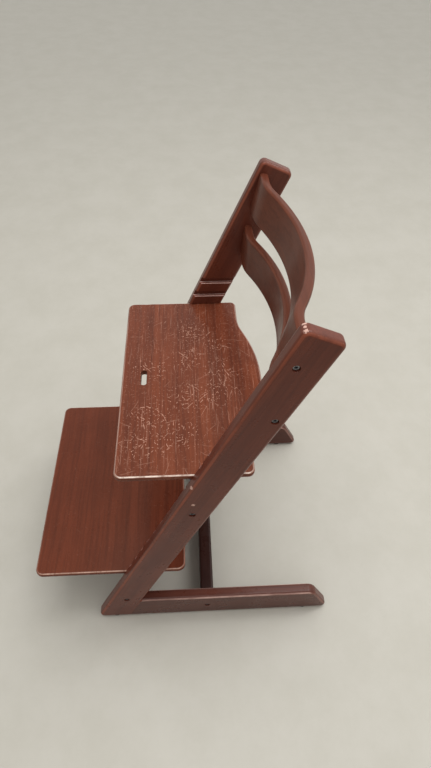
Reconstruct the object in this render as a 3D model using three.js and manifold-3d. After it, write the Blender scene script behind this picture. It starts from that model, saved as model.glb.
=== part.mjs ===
// A wooden high chair whose seat and footrest slide in grooves cut across two leaning legs.
// Millimetres, +Z up, the chair faces -Y. Pieces are first placed from the toe of the legs
// (Y = 0 where the front edge of the legs meets the floor) and the whole chair is then centred.
import * as THREE from "three";
import Module from "manifold-3d";
import { mergeVertices } from "three/addons/utils/BufferGeometryUtils.js";

// ---------- Driving dimensions ----------
const chairHeight = 790;
const chairWidth = 470;
const baseDepth = 490; // toe of the legs to the rear tip of the runners

// Side frames: one leg and one runner cut from the same board
const legAngle = THREE.MathUtils.degToRad(66.3); // from the floor
const legWidth = 61.5;
const boardThickness = 23;
const boardEdgeRadius = 6.5;
const legCornerRadius = 10;
const toeRadius = 9;
const runnerHeight = 72;
const runnerEndAngle = THREE.MathUtils.degToRad(62); // slope of the runner's rear end
const runnerTopRadius = 22;
const jointLine = 0.3; // glue line between leg and runner

// Grooves for the plates
const grooveCount = 14;
const lowestGrooveZ = 132; // floor of the lowest groove
const topGrooveDrop = 248; // top of the chair down to the floor of the top groove
const grooveDepth = 7;
const grooveLip = 1.5; // chamfer along the mouth
const seatGroove = 2; // counted down from the top groove, which is 0
const footplateGroove = 12;

// Plates
const plateThickness = 11;
const plateEdgeRadius = 4;
const plateFaceClearance = 0.3; // above and below a plate in its groove
const plateEndClearance = 1.2; // between a plate's side and the bottom of its groove
const seatOverhang = 125.5; // front edge of the leg to the front edge of the seat
const seatSideLength = 221.5; // front edge to the rear shoulder
const seatFrontRadius = 13;
const seatShoulderRadius = 11;
const seatShoulderWidth = 53; // flat shoulder on each side of the rounded rear edge
const seatBow = 32; // how far the rear edge stands out behind the shoulders
const seatReturnRadius = 110;
const strapSlotLength = 37;
const strapSlotWidth = 10;
const strapSlotInset = 39.5; // front edge of the seat to the middle of the slot
const footplateOverhang = 176.5;
const footplateLength = 292;
const footplateRadius = 15;

// Backrest: two bent slats, bolted on a line steeper than the legs, each tilted its own way
const boltLineTilt = THREE.MathUtils.degToRad(10); // from the vertical
const slatTilts = {
  lower: THREE.MathUtils.degToRad(4.5),
  upper: THREE.MathUtils.degToRad(13),
};
const lowerBoltFromTop = 155; // along the leg
const lowerBoltInset = 16.5; // in front of the leg's rear edge
const slatPitch = 101;
const slatHeight = 69;
const slatThickness = 15;
const slatEdgeRadius = 5;
const slatBoltDrop = 4; // bolt below the middle of the slat
const slatTab = 26; // flat end next to the leg
const slatBow = 41.5; // depth of the hollow
const slatReturnRadius = 85;
const slatPinRise = 22; // bolt to locating pin
const slatPinDiameter = 5;
const slatPinLength = 20;

// Cross pieces
const rodDiameter = 10;
const lowerRodAlongLeg = 76; // floor to the lower rod, along the leg
const upperRodGroove = 5; // the upper rod sits in the wood just above this groove
const upperRodLift = 7;
const crossbarThickness = 28;
const crossbarReveal = 5; // how much lower and higher the runner stands than the crossbar
const crossbarFromRear = 256; // rear tip of the runner to the middle of the crossbar
const crossbarEdgeRadius = 5;

// Fasteners
const boltDiameter = 6;
const boltHeadDiameter = 10;
const boltHeadHeight = 4;
const boltRounding = 0.8;
const boltSocketAcross = 4;
const boltSocketDepth = 2.5;
const boltRecess = 2.5; // head below the face of the board
const shortBoltLength = 40;
const longBoltLength = 60;
const barrelDiameter = 10;
const barrelSlotWidth = 1.2;
const barrelSlotDepth = 1;
const slatBarrelLength = 12;
const slatBarrelInset = 15; // end of the slat to the middle of the barrel nut
const crossbarBarrelLength = 16;
const crossbarBarrelInset = 30;
const dowelDiameter = 8;
const jointDowelLength = 50;
const jointDowelEdge = 22; // along the joint, from either end
const crossbarDowelLength = 30;
const crossbarDowelRise = 18;

// Glides under the boards
const glideHeight = 3;
const glideDiameter = 20;
const glideChamfer = 1;
const glideStemDiameter = 6;
const glideStemLength = 12;
const frontGlideY = 40;
const rearGlideFromRear = 48;

// Gaps and fineness
const gap = 0.3; // between touching pieces
const boreRelief = 2; // empty bore past the end of a bolt
const overrun = 1; // how far a cutter runs past the face it cuts
const boltClearance = 0.35; // radial, round a bolt
const turnedSides = 14;
const edgeSteps = 2;
const cornerSteps = 2;
const bowSteps = 5;

// ---------- Sizes worked out from the driving dimensions ----------
const outerX = chairWidth / 2;
const innerX = outerX - boardThickness;
const sinLeg = Math.sin(legAngle);
const cosLeg = Math.cos(legAngle);
const legCornerLoss = legCornerRadius * (sinLeg + cosLeg - 1);
const legLength = (chairHeight + legCornerLoss - legWidth * cosLeg) / sinLeg;
const legRearY = legWidth / sinLeg; // rear edge of the leg at floor level
const runnerTopZ = glideHeight + runnerHeight;

const topGrooveZ = chairHeight - topGrooveDrop;
const groovePitch = (topGrooveZ - lowestGrooveZ) / (grooveCount - 1);
const grooveHeight = plateThickness + 2 * plateFaceClearance;
const plateHalfWidth = innerX + grooveDepth - plateEndClearance;
const boltSeat = boardThickness - boltHeadHeight - boltRecess; // wood under a bolt head

// A point on the side of a leg: distance along it from the floor, and distance in front of its rear edge.
function onLeg(along, inFront) {
  return new THREE.Vector2(
    legRearY + along * cosLeg - inFront * sinLeg,
    along * sinLeg + inFront * cosLeg,
  );
}

function legFrontY(z) {
  return z / Math.tan(legAngle);
}

function grooveFloorZ(index) {
  return topGrooveZ - index * groovePitch;
}

// The direction in the YZ plane that leans back from the vertical by an angle.
function tilted(angle) {
  return new THREE.Vector2(Math.sin(angle), Math.cos(angle));
}

const lowerRod = onLeg(lowerRodAlongLeg, legWidth / 2);
const upperRodZ = grooveFloorZ(upperRodGroove) + grooveHeight + upperRodLift;
const upperRod = onLeg((upperRodZ - (legWidth / 2) * cosLeg) / sinLeg, legWidth / 2);
const lowerSlatBolt = onLeg(legLength - lowerBoltFromTop, lowerBoltInset);
const upperSlatBolt = lowerSlatBolt.clone().addScaledVector(tilted(boltLineTilt), slatPitch);
const crossbarCentre = new THREE.Vector2(baseDepth - crossbarFromRear, glideHeight + runnerHeight / 2);
const crossbarHeight = runnerHeight - 2 * crossbarReveal;

// ---------- Solids ----------
const wasm = await Module();
wasm.setup();

function toSolid(geometry) {
  const bare = geometry.clone();
  bare.deleteAttribute("normal");
  bare.deleteAttribute("uv");
  const merged = mergeVertices(bare, 1e-3);
  const corners = merged.index.array;
  const kept = [];
  for (let i = 0; i < corners.length; i += 3) {
    const [a, b, c] = [corners[i], corners[i + 1], corners[i + 2]];
    if (a !== b && b !== c && c !== a) kept.push(a, b, c);
  }
  return new wasm.Manifold(
    new wasm.Mesh({
      numProp: 3,
      vertProperties: merged.attributes.position.array,
      triVerts: new Uint32Array(kept),
    }),
  );
}

function toGeometry(solid) {
  const mesh = solid.getMesh();
  const geometry = new THREE.BufferGeometry();
  geometry.setAttribute("position", new THREE.BufferAttribute(mesh.vertProperties, 3));
  geometry.setIndex(new THREE.BufferAttribute(mesh.triVerts, 1));
  geometry.computeVertexNormals();
  return geometry;
}

function cut(geometry, cutters) {
  let solid = toSolid(geometry);
  for (const cutter of cutters) solid = solid.subtract(toSolid(cutter));
  return toGeometry(solid);
}

function keepInside(geometry, limit) {
  return toGeometry(toSolid(geometry).intersect(toSolid(limit)));
}

// A closed outline through corners [x, y, radius], each rounded by an arc tangent to both of its sides.
function roundedShape(corners) {
  const shape = new THREE.Shape();
  corners.forEach(([x, y, radius], i) => {
    const [px, py] = corners.at(i - 1);
    const [nx, ny] = corners[(i + 1) % corners.length];
    const back = new THREE.Vector2(px - x, py - y).normalize();
    const ahead = new THREE.Vector2(nx - x, ny - y).normalize();
    const reach = radius / Math.tan(Math.acos(back.dot(ahead)) / 2);
    const start = new THREE.Vector2(x, y).addScaledVector(back, reach);
    const end = new THREE.Vector2(x, y).addScaledVector(ahead, reach);
    if (i === 0) shape.moveTo(start.x, start.y);
    else shape.lineTo(start.x, start.y);
    if (radius === 0) return;
    const turnsLeft = back.cross(ahead) < 0;
    const side = turnsLeft ? 1 : -1;
    const centre = new THREE.Vector2(start.x + side * back.y * radius, start.y - side * back.x * radius);
    const from = Math.atan2(start.y - centre.y, start.x - centre.x);
    const to = Math.atan2(end.y - centre.y, end.x - centre.x);
    shape.absarc(centre.x, centre.y, radius, from, to, !turnsLeft);
  });
  shape.closePath();
  return shape;
}

// A plate of the outline in its XY plane, from z = 0 up to its thickness, with its edges rounded over.
function plate(shape, thickness, edgeRadius, steps = cornerSteps) {
  const geometry = new THREE.ExtrudeGeometry(shape, {
    depth: thickness - 2 * edgeRadius,
    bevelEnabled: edgeRadius > 0,
    bevelThickness: edgeRadius,
    bevelSize: edgeRadius,
    bevelOffset: -edgeRadius,
    bevelSegments: edgeSteps,
    curveSegments: steps,
  });
  return geometry.translate(0, 0, edgeRadius);
}

// The same plate stood on edge: the outline's x and y become Y and Z, and its thickness runs along +X.
function sidePlate(shape, thickness, edgeRadius) {
  const turn = new THREE.Matrix4().makeBasis(
    new THREE.Vector3(0, 1, 0),
    new THREE.Vector3(0, 0, 1),
    new THREE.Vector3(1, 0, 0),
  );
  return plate(shape, thickness, edgeRadius).applyMatrix4(turn);
}

// A turned piece along +X: profile points are [distance along X, radius], starting and ending on the axis.
function turned(profile) {
  const points = profile.map(([along, radius]) => new THREE.Vector2(radius, along));
  return new THREE.LatheGeometry(points, turnedSides).rotateZ(-Math.PI / 2);
}

function rod(fromX, toX, diameter) {
  const radius = diameter / 2;
  return turned([
    [fromX, 0],
    [fromX, radius],
    [toX, radius],
    [toX, 0],
  ]);
}

function at(geometry, x, point) {
  return geometry.clone().translate(x, point.x, point.y);
}

// The curve shared by the slats and the rear edge of the seat: a crown arc between two return arcs.
function bow(halfSpan, depth, returnRadius) {
  const angle = 2 * Math.atan(depth / halfSpan);
  const crownRadius = halfSpan / Math.sin(angle) - returnRadius;
  return { angle, crownRadius, returnRadius, halfSpan, crownY: depth - crownRadius, returnY: returnRadius };
}

// Adds the bow to an outline, shifted by the offset, from -X to +X or back again.
function addBow(shape, curve, y, offset, forwards) {
  const { angle, crownRadius, returnRadius, halfSpan, crownY, returnY } = curve;
  const down = -Math.PI / 2;
  const up = Math.PI / 2;
  const crown = crownRadius + offset;
  const turnBack = returnRadius - offset;
  if (forwards) {
    shape.absarc(-halfSpan, y + returnY, turnBack, down, down + angle, false);
    shape.absarc(0, y + crownY, crown, up + angle, up - angle, true);
    shape.absarc(halfSpan, y + returnY, turnBack, down - angle, down, false);
  } else {
    shape.absarc(halfSpan, y + returnY, turnBack, down, down - angle, true);
    shape.absarc(0, y + crownY, crown, up - angle, up + angle, false);
    shape.absarc(-halfSpan, y + returnY, turnBack, down + angle, down, true);
  }
}

// ---------- Side frames ----------
// The rounded tip of a runner ends at baseDepth, so the sharp corner it is drawn from lies a little behind.
const runnerCornerY = baseDepth + toeRadius * (1 / Math.tan(runnerEndAngle / 2) - 1);
const runnerRearTopY = runnerCornerY - runnerHeight / Math.tan(runnerEndAngle);

function sideBoard() {
  const toeY = glideHeight / Math.tan(legAngle);
  const frontTop = onLeg(legLength, legWidth);
  const rearTop = onLeg(legLength, 0);
  const inner = onLeg(runnerTopZ / sinLeg, 0);
  const shape = roundedShape([
    [toeY, glideHeight, toeRadius],
    [runnerCornerY, glideHeight, toeRadius],
    [runnerRearTopY, runnerTopZ, runnerTopRadius],
    [inner.x, inner.y, 0],
    [rearTop.x, rearTop.y, legCornerRadius],
    [frontTop.x, frontTop.y, legCornerRadius],
  ]);
  return sidePlate(shape, boardThickness, boardEdgeRadius).translate(innerX, 0, 0);
}

// Everything on one side of the line where the runner is glued to the leg's rear edge.
function sideOfJoint(towardsFront) {
  const shift = towardsFront ? 0 : -jointLine;
  const far = 2 * chairHeight;
  const across = towardsFront ? far : -far;
  const near = [onLeg(-far, shift), onLeg(far, shift)];
  const ends = [...near, onLeg(far, shift + across), onLeg(-far, shift + across)];
  const shape = new THREE.Shape(ends);
  return sidePlate(shape, 2 * boardThickness, 0).translate(innerX - boardThickness / 2, 0, 0);
}

function grooveCutter(index) {
  const low = -grooveHeight / 2;
  const high = grooveHeight / 2;
  const outside = -2 * grooveLip;
  const shape = new THREE.Shape([
    new THREE.Vector2(grooveDepth, low),
    new THREE.Vector2(grooveDepth, high),
    new THREE.Vector2(grooveLip, high),
    new THREE.Vector2(0, high + grooveLip),
    new THREE.Vector2(outside, high + grooveLip),
    new THREE.Vector2(outside, low - grooveLip),
    new THREE.Vector2(0, low - grooveLip),
    new THREE.Vector2(grooveLip, low),
  ]);
  const length = 3 * legWidth;
  const centreZ = grooveFloorZ(index) + grooveHeight / 2;
  const centreY = legFrontY(centreZ) + legRearY / 2;
  return plate(shape, length, 0)
    .rotateX(Math.PI / 2)
    .translate(innerX, centreY + length / 2, centreZ);
}

// A bolt's clearance hole with the pocket for its head, from inside the board to past its outer face.
function boltHole(point) {
  const seatX = innerX + boltSeat;
  const holeRadius = boltDiameter / 2 + boltClearance;
  const pocketRadius = boltHeadDiameter / 2 + gap;
  const profile = [
    [innerX - overrun, 0],
    [innerX - overrun, holeRadius],
    [seatX, holeRadius],
    [seatX, pocketRadius],
    [outerX + overrun, pocketRadius],
    [outerX + overrun, 0],
  ];
  return at(turned(profile), 0, point);
}

const lowerSlatPin = lowerSlatBolt.clone().addScaledVector(tilted(slatTilts.lower), slatPinRise);
const upperSlatPin = upperSlatBolt.clone().addScaledVector(tilted(slatTilts.upper), slatPinRise);

function pinHole(point) {
  return at(rod(innerX - overrun, innerX + slatPinLength / 2 + gap, slatPinDiameter + 2 * gap), 0, point);
}

// Dowels across the glued joint, square to the leg's rear edge.
const jointLength = runnerTopZ / sinLeg;
const jointDowelPlaces = {
  lower: jointDowelEdge + glideHeight,
  upper: jointLength - jointDowelEdge,
};

function jointDowel(along, length, diameter) {
  const centre = onLeg(along, -jointLine / 2);
  const radius = diameter / 2;
  const half = length / 2;
  return turned([
    [-half, 0],
    [-half, radius],
    [half, radius],
    [half, 0],
  ])
    .rotateZ(Math.PI / 2)
    .rotateX(legAngle - Math.PI / 2)
    .translate(innerX + boardThickness / 2, centre.x, centre.y);
}

function jointDowelHoles() {
  return Object.values(jointDowelPlaces).map((along) =>
    jointDowel(along, jointDowelLength + 2 * gap, dowelDiameter + 2 * gap),
  );
}

const glidePlaces = { front: frontGlideY, rear: baseDepth - rearGlideFromRear };

function upright(profile) {
  return turned(profile).rotateY(-Math.PI / 2);
}

function glideHole(y) {
  const radius = glideStemDiameter / 2 + gap;
  return upright([
    [0, 0],
    [0, radius],
    [glideHeight + glideStemLength + gap, radius],
    [glideHeight + glideStemLength + gap, 0],
  ]).translate(innerX + boardThickness / 2, y, 0);
}

function leg() {
  const grooves = Array.from({ length: grooveCount }, (_, index) => grooveCutter(index));
  const holes = [lowerRod, upperRod, lowerSlatBolt, upperSlatBolt].map(boltHole);
  const pins = [lowerSlatPin, upperSlatPin].map(pinHole);
  const board = keepInside(sideBoard(), sideOfJoint(true));
  return cut(board, [...grooves, ...holes, ...pins, ...jointDowelHoles(), glideHole(glidePlaces.front)]);
}

const crossbarDowel = crossbarCentre.clone().add(new THREE.Vector2(0, crossbarDowelRise));

function runner() {
  const board = keepInside(sideBoard(), sideOfJoint(false));
  const dowelHole = at(
    rod(innerX - overrun, innerX + crossbarDowelLength / 2 + gap, dowelDiameter + 2 * gap),
    0,
    crossbarDowel,
  );
  return cut(board, [boltHole(crossbarCentre), dowelHole, ...jointDowelHoles(), glideHole(glidePlaces.rear)]);
}

// A low plastic glide with a stem pressed into the board.
function glide(y) {
  const radius = glideDiameter / 2;
  const stemRadius = glideStemDiameter / 2;
  const top = glideHeight - gap;
  return upright([
    [0, 0],
    [0, radius - glideChamfer],
    [glideChamfer, radius],
    [top, radius],
    [top, stemRadius],
    [top + glideStemLength, stemRadius],
    [top + glideStemLength, 0],
  ]).translate(innerX + boardThickness / 2, y, 0);
}

// ---------- Fasteners ----------
// A furniture bolt with a flat head and a hexagon socket, its head sunk below the outer face.
function bolt(length, point) {
  const headX = outerX - boltRecess;
  const seatX = headX - boltHeadHeight + gap / 2;
  const shankRadius = boltDiameter / 2;
  const headRadius = boltHeadDiameter / 2;
  const body = turned([
    [seatX - length, 0],
    [seatX - length, shankRadius - boltRounding],
    [seatX - length + boltRounding, shankRadius],
    [seatX, shankRadius],
    [seatX, headRadius],
    [headX - boltRounding, headRadius],
    [headX, headRadius - boltRounding],
    [headX, 0],
  ]);
  const socketRadius = boltSocketAcross / Math.sqrt(3);
  const socket = new THREE.CylinderGeometry(socketRadius, socketRadius, 2 * boltSocketDepth, 6)
    .rotateZ(Math.PI / 2)
    .translate(headX, 0, 0);
  return at(cut(body, [socket]), 0, point);
}

// A barrel nut lying along +Y, threaded across its middle for a bolt along X, with a screwdriver slot behind.
function barrelNut(length) {
  const body = rod(-length / 2, length / 2, barrelDiameter).rotateZ(Math.PI / 2);
  const thread = rod(-barrelDiameter, barrelDiameter, boltDiameter + 2 * boltClearance);
  const slot = new THREE.BoxGeometry(2 * barrelDiameter, 2 * barrelSlotDepth, barrelSlotWidth).translate(
    0,
    length / 2,
    0,
  );
  return cut(body, [thread, slot]);
}

// ---------- Cross pieces ----------
function boltReach(length) {
  return length - boltSeat;
}

// A steel rod between the legs, threaded at each end.
function crossRod(point) {
  const half = innerX - gap;
  const radius = rodDiameter / 2;
  const boreRadius = boltDiameter / 2 + boltClearance;
  const bored = innerX - boltReach(shortBoltLength) - boreRelief;
  const profile = [
    [-bored, 0],
    [-bored, boreRadius],
    [-half, boreRadius],
    [-half, radius],
    [half, radius],
    [half, boreRadius],
    [bored, boreRadius],
    [bored, 0],
  ];
  return at(turned(profile), 0, point);
}

function crossbar() {
  const half = innerX - gap;
  const [dy, dz] = [crossbarThickness / 2, crossbarHeight / 2];
  const shape = roundedShape([
    [-dy, -dz, crossbarEdgeRadius],
    [dy, -dz, crossbarEdgeRadius],
    [dy, dz, crossbarEdgeRadius],
    [-dy, dz, crossbarEdgeRadius],
  ]);
  const body = sidePlate(shape, 2 * half, 0).translate(-half, 0, 0);
  const cutters = [];
  for (const side of [-1, 1]) {
    const boltEnd = innerX - boltReach(longBoltLength) - boreRelief;
    const dowelEnd = innerX - crossbarDowelLength / 2 - gap;
    const bolt = rod(boltEnd, half + overrun, boltDiameter + 2 * boltClearance);
    const dowel = rod(dowelEnd, half + overrun, dowelDiameter + 2 * gap).translate(0, 0, crossbarDowelRise);
    const barrel = rod(-crossbarBarrelLength / 2 - gap, crossbarThickness, barrelDiameter + 2 * gap)
      .rotateZ(Math.PI / 2)
      .translate(half - crossbarBarrelInset, 0, 0);
    for (const tool of [bolt, dowel]) cutters.push(side > 0 ? tool : tool.rotateZ(Math.PI));
    cutters.push(side > 0 ? barrel : barrel.translate(-2 * (half - crossbarBarrelInset), 0, 0));
  }
  return at(cut(body, cutters), 0, crossbarCentre);
}

// ---------- Plates ----------
const seatFloorZ = grooveFloorZ(seatGroove) + plateFaceClearance;
const seatFrontY = legFrontY(seatFloorZ + plateThickness) - seatOverhang;
const footplateFloorZ = grooveFloorZ(footplateGroove) + plateFaceClearance;
const footplateFrontY = legFrontY(footplateFloorZ + plateThickness) - footplateOverhang;

function seatPlate() {
  const half = plateHalfWidth;
  const curve = bow(half - seatShoulderWidth, seatBow, seatReturnRadius);
  const [fr, sr] = [seatFrontRadius, seatShoulderRadius];
  const shape = new THREE.Shape();
  shape.moveTo(-half + fr, 0);
  shape.absarc(half - fr, fr, fr, -Math.PI / 2, 0, false);
  shape.absarc(half - sr, seatSideLength - sr, sr, 0, Math.PI / 2, false);
  addBow(shape, curve, seatSideLength, 0, false);
  shape.absarc(-half + sr, seatSideLength - sr, sr, Math.PI / 2, Math.PI, false);
  shape.absarc(-half + fr, fr, fr, Math.PI, 1.5 * Math.PI, false);
  const end = strapSlotWidth / 2;
  const reach = strapSlotLength / 2 - end;
  const slotShape = new THREE.Shape();
  slotShape.moveTo(-reach, -end);
  slotShape.absarc(reach, 0, end, -Math.PI / 2, Math.PI / 2, false);
  slotShape.absarc(-reach, 0, end, Math.PI / 2, 1.5 * Math.PI, false);
  const slot = plate(slotShape, 3 * plateThickness, 0).translate(0, strapSlotInset, -plateThickness);
  return cut(plate(shape, plateThickness, plateEdgeRadius, bowSteps), [slot]);
}

function footplate() {
  const half = plateHalfWidth;
  const radius = footplateRadius;
  const shape = roundedShape([
    [-half, 0, radius],
    [half, 0, radius],
    [half, footplateLength, radius],
    [-half, footplateLength, radius],
  ]);
  return toGeometry(toSolid(plate(shape, plateThickness, plateEdgeRadius)));
}

// ---------- Backrest slats ----------
// In the slat's own frame: X across, Y rearwards through it, Z up along it, origin level with its bolts.
function slat() {
  const half = innerX - gap;
  const past = half + 2 * slatEdgeRadius;
  const curve = bow(innerX - slatTab, slatBow, slatReturnRadius);
  const t = slatThickness / 2;
  const shape = new THREE.Shape();
  shape.moveTo(-past, t);
  shape.lineTo(-past, -t);
  addBow(shape, curve, 0, -t, true);
  shape.lineTo(past, -t);
  shape.lineTo(past, t);
  addBow(shape, curve, 0, t, false);
  shape.closePath();
  const lowEdge = slatBoltDrop - slatHeight / 2;
  const long = plate(shape, slatHeight, slatEdgeRadius, bowSteps).translate(0, 0, lowEdge);
  const ends = new THREE.BoxGeometry(2 * half, 4 * slatBow, 2 * slatHeight);
  const boltEnd = innerX - boltReach(shortBoltLength) - boreRelief;
  const pinEnd = innerX - slatPinLength / 2 - gap;
  const cutters = [];
  for (const side of [-1, 1]) {
    const bolt = rod(boltEnd, past, boltDiameter + 2 * boltClearance);
    const pin = rod(pinEnd, past, slatPinDiameter + 2 * gap).translate(0, 0, slatPinRise);
    for (const tool of [bolt, pin]) cutters.push(side > 0 ? tool : tool.rotateZ(Math.PI));
    cutters.push(
      rod(-slatBarrelLength / 2 - gap, slatThickness, barrelDiameter + 2 * gap)
        .rotateZ(Math.PI / 2)
        .translate(side * (half - slatBarrelInset), 0, 0),
    );
  }
  return cut(keepInside(long, ends), cutters);
}

// ---------- Materials ----------
const frameWood = new THREE.MeshStandardMaterial({ color: 0x58382f, roughness: 0.42, metalness: 0 });
const plateWood = new THREE.MeshStandardMaterial({ color: 0x7a3f30, roughness: 0.38, metalness: 0 });
const slatWood = new THREE.MeshStandardMaterial({ color: 0x5c3128, roughness: 0.4, metalness: 0 });
const dowelWood = new THREE.MeshStandardMaterial({ color: 0xc9a678, roughness: 0.7, metalness: 0 });
const steel = new THREE.MeshStandardMaterial({ color: 0xb9b9bb, roughness: 0.3, metalness: 1 });
const glidePlastic = new THREE.MeshStandardMaterial({ color: 0x2b2624, roughness: 0.6, metalness: 0 });

// ---------- Assembly ----------
const chair = new THREE.Group();
const frontY = Math.min(footplateFrontY, 0);
chair.position.y = -(frontY + baseDepth) / 2;

function add(parent, name, geometry, material) {
  const mesh = new THREE.Mesh(geometry, material.clone());
  mesh.name = name;
  parent.add(mesh);
  return mesh;
}

const backrestBolts = { lower: lowerSlatBolt, upper: upperSlatBolt };
const backrestPins = { lower: lowerSlatPin, upper: upperSlatPin };
const rodPlaces = { lower: lowerRod, upper: upperRod };
const tiltedFrames = {};
for (const [level, place] of Object.entries(backrestBolts)) {
  const frame = new THREE.Group();
  frame.position.set(0, place.x, place.y);
  frame.rotation.x = -slatTilts[level];
  chair.add(frame);
  tiltedFrames[level] = frame;
  add(frame, `backrest_slat_${level}`, slat(), slatWood);
}

add(chair, "seat_plate", seatPlate(), plateWood).position.set(0, seatFrontY, seatFloorZ);
add(chair, "footplate", footplate(), plateWood).position.set(0, footplateFrontY, footplateFloorZ);
add(chair, "crossbar", crossbar(), frameWood);
for (const [level, place] of Object.entries(rodPlaces)) {
  add(chair, `cross_rod_${level}`, toGeometry(toSolid(crossRod(place))), steel);
}

// Both sides share their shapes: the right side is the left side mirrored across the middle of the chair.
const sides = { left: 1, right: -1 };
const slatNutX = innerX - gap - slatBarrelInset;
const crossbarNutX = innerX - gap - crossbarBarrelInset;
for (const [hand, mirror] of Object.entries(sides)) {
  const side = new THREE.Group();
  side.scale.x = mirror;
  chair.add(side);
  add(side, `leg_${hand}`, leg(), frameWood);
  add(side, `runner_${hand}`, runner(), frameWood);
  for (const [end, y] of Object.entries(glidePlaces)) {
    add(side, `glide_${end}_${hand}`, toGeometry(toSolid(glide(y))), glidePlastic);
  }
  for (const [level, place] of Object.entries(rodPlaces)) {
    add(side, `rod_bolt_${level}_${hand}`, bolt(shortBoltLength, place), steel);
  }
  for (const [level, along] of Object.entries(jointDowelPlaces)) {
    const dowel = jointDowel(along, jointDowelLength, dowelDiameter);
    add(side, `joint_dowel_${level}_${hand}`, toGeometry(toSolid(dowel)), dowelWood);
  }
  for (const [level, place] of Object.entries(backrestBolts)) {
    add(side, `backrest_bolt_${level}_${hand}`, bolt(shortBoltLength, place), steel);
    const pin = rod(innerX - slatPinLength / 2, innerX + slatPinLength / 2, slatPinDiameter);
    add(side, `backrest_pin_${level}_${hand}`, toGeometry(toSolid(at(pin, 0, backrestPins[level]))), steel);
    const nut = add(tiltedFrames[level], `backrest_nut_${level}_${hand}`, barrelNut(slatBarrelLength), steel);
    nut.position.x = mirror * slatNutX;
  }
  add(side, `crossbar_bolt_${hand}`, bolt(longBoltLength, crossbarCentre), steel);
  const nut = add(side, `crossbar_nut_${hand}`, barrelNut(crossbarBarrelLength), steel);
  nut.position.set(crossbarNutX, crossbarCentre.x, crossbarCentre.y);
  const halfDowel = crossbarDowelLength / 2;
  const dowel = at(rod(innerX - halfDowel, innerX + halfDowel, dowelDiameter), 0, crossbarDowel);
  add(side, `crossbar_dowel_${hand}`, toGeometry(toSolid(dowel)), dowelWood);
}

export default chair;
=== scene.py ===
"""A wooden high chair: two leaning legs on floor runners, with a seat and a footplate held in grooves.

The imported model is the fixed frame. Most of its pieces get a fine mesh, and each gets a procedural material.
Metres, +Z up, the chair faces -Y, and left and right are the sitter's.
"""
import math

import bmesh
import bpy
from mathutils import Matrix, Vector


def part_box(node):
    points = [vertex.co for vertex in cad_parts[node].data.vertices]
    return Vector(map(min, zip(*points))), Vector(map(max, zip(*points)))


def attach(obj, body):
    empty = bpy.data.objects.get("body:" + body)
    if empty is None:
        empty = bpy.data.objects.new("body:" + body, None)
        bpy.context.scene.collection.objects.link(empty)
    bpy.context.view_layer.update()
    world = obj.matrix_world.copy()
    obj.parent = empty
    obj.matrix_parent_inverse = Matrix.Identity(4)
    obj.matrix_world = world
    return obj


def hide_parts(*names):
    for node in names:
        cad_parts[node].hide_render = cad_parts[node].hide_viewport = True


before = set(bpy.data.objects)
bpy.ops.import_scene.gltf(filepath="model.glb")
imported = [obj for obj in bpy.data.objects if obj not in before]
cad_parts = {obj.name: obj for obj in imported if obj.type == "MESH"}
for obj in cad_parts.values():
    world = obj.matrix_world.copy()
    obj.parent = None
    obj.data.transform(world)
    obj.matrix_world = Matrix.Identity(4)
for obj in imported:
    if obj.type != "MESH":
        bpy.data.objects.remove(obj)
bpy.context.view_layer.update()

# ---------- Sizes, as in the CAD model ----------
BOARD_EDGE = 0.0065
LEG_ANGLE = math.radians(66.3)
LEG_WIDTH = 0.0615
LEG_CORNER = 0.010
TOE_RADIUS = 0.009
BASE_DEPTH = 0.490
RUNNER_END_ANGLE = math.radians(62)
RUNNER_TOP_RADIUS = 0.022
JOINT_LINE = 0.0003

GROOVE_COUNT = 14
LOWEST_GROOVE = 0.132
TOP_GROOVE_DROP = 0.248
GROOVE_DEPTH = 0.007
GROOVE_HEIGHT = 0.0116
GROOVE_LIP = 0.0018
GROOVE_FILLET = 0.0006

PLATE_EDGE = 0.004
SEAT_SIDE = 0.2215
SEAT_FRONT_RADIUS = 0.013
SEAT_SHOULDER_RADIUS = 0.011
SEAT_SHOULDER_WIDTH = 0.053
SEAT_BOW = 0.032
SEAT_RETURN_RADIUS = 0.110
SLOT_LENGTH = 0.037
SLOT_WIDTH = 0.010
SLOT_INSET = 0.0395
FOOTPLATE_RADIUS = 0.015

BOLT_LINE_TILT = math.radians(10)
SLAT_TILTS = {"lower": math.radians(4.5), "upper": math.radians(13)}
LOWER_BOLT_FROM_TOP = 0.155
LOWER_BOLT_INSET = 0.0165
SLAT_PITCH = 0.101
SLAT_HEIGHT = 0.069
SLAT_THICKNESS = 0.015
SLAT_EDGE = 0.005
SLAT_BOLT_DROP = 0.004
SLAT_TAB = 0.026
SLAT_BOW = 0.0415
SLAT_RETURN_RADIUS = 0.085
CROSSBAR_EDGE = 0.005
GAP = 0.0003

HEAD_RADIUS = 0.005
HEAD_HEIGHT = 0.004
SHANK_RADIUS = 0.003
SOCKET_ACROSS = 0.004
SOCKET_DEPTH = 0.0025
BARREL_RADIUS = 0.005
SLAT_BARREL = 0.012
CROSSBAR_BARREL = 0.016
NUT_SLOT_WIDTH = 0.0012
NUT_SLOT_DEPTH = 0.001
POCKET_ROOM = 0.0003
GLIDE_STEM = 0.003
GLIDE_TAPER = 0.0012
GLIDE_BREAK = 0.0004

# ---------- Fine shapes that the CAD model leaves out ----------
HOLE_RIM = 0.0006
SLOT_RIM = 0.001
RIM_LEAN = 0.7
HEAD_ROUNDING = 0.0009
SHANK_TAPER = 0.0008
SOCKET_BREAK = 0.0003
SOCKET_FLARE = 1.5
ROD_ROUNDING = 0.0008
NUT_ROUNDING = 0.0005

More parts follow.
